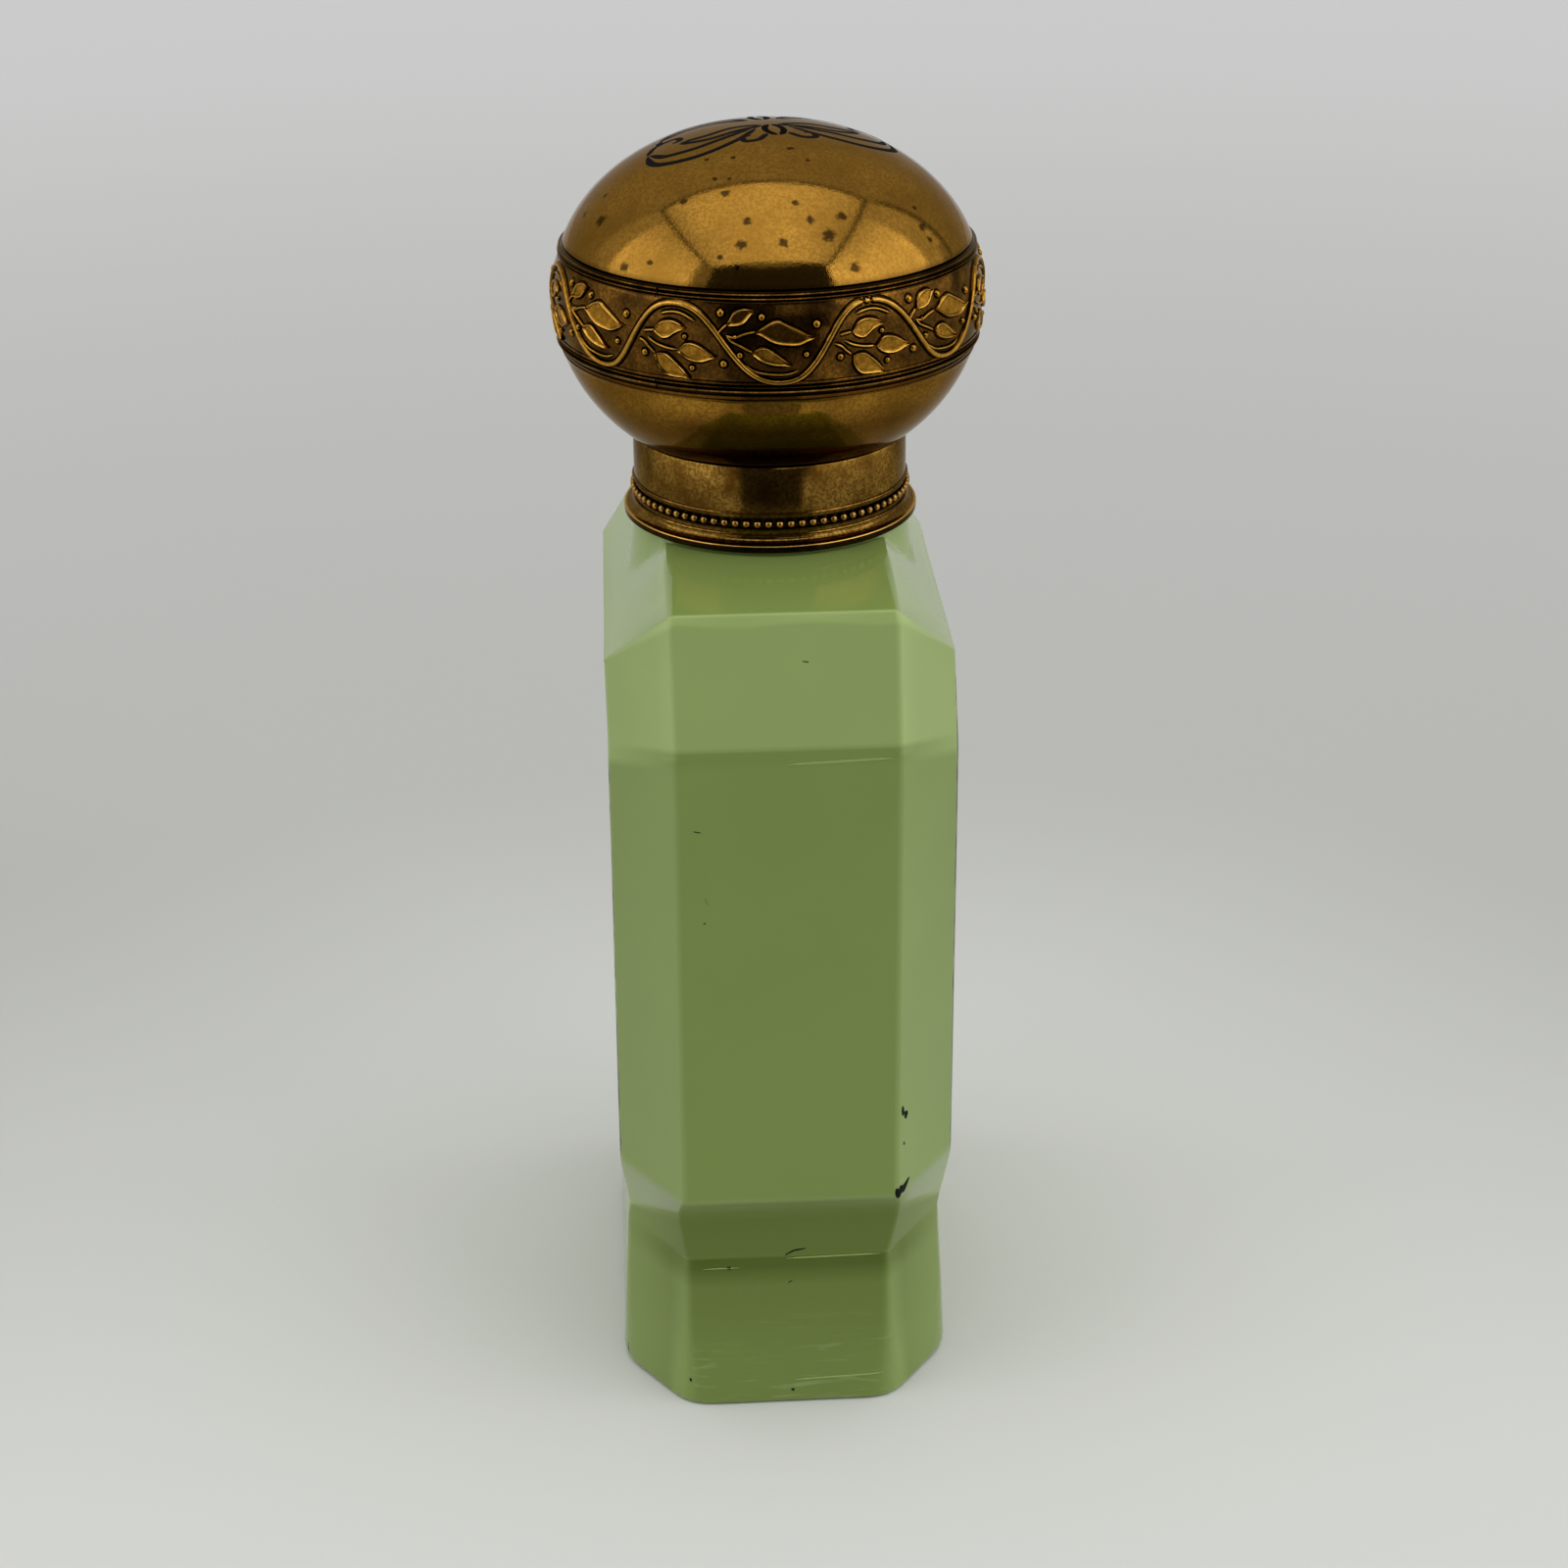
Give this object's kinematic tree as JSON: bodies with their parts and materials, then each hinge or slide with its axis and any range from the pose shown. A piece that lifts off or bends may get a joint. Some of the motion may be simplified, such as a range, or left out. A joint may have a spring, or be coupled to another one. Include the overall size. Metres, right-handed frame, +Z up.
{
  "type": "powder bottle",
  "caption": "Flat octagonal powder bottle in opaque green glass with a stepped foot, a beaded brass collar with a sifter, and a brass ball cap with an embossed vine band that screws off.",
  "frame": {"origin": "centre of the base, on the surface that the bottle stands on", "axes": "+Z up along the cap's axis, the narrow ends face -Y and +Y, the broad sides face -X and +X"},
  "size_m": [0.0446, 0.0578, 0.1334],
  "materials": {
    "jade_glass": "opaque glossy jade green over pressed glass",
    "patinated_brass": "spun brass, aged brown patina, polished by handling",
    "brass_trim": "embossed brass, dark ground and rubbed high parts",
    "plain_brass": "plain stamped brass",
    "plaster": "set plaster",
    "waxed_card": "waxed card"
  },
  "bodies": {
    "bottle": {"glass_bottle": "jade_glass", "neck_plaster": "plaster", "collar": "patinated_brass", "bead_ring": "brass_trim", "sifter_head": "plain_brass"},
    "liner": {"cap_liner": "waxed_card"},
    "ball_cap": {"thread_shell": "plain_brass", "cap_bowl": "patinated_brass", "vine_band": "brass_trim", "cap_dome": "patinated_brass"}
  },
  "joints": [
    {"name": "cap_rise", "type": "slide", "parent": "bottle", "child": "liner", "axis": [0, 0, 1], "range_m": [0, 0.008]},
    {"name": "cap_turn", "type": "hinge", "parent": "liner", "child": "ball_cap", "pos_m": [0, 0, 0.10205], "axis": [0, 0, 1], "range_deg": [0, 900]}
  ],
  "couplings": [
    {"joint": "cap_rise", "follows": "cap_turn", "m_per_rad": 0.00050929}
  ]
}
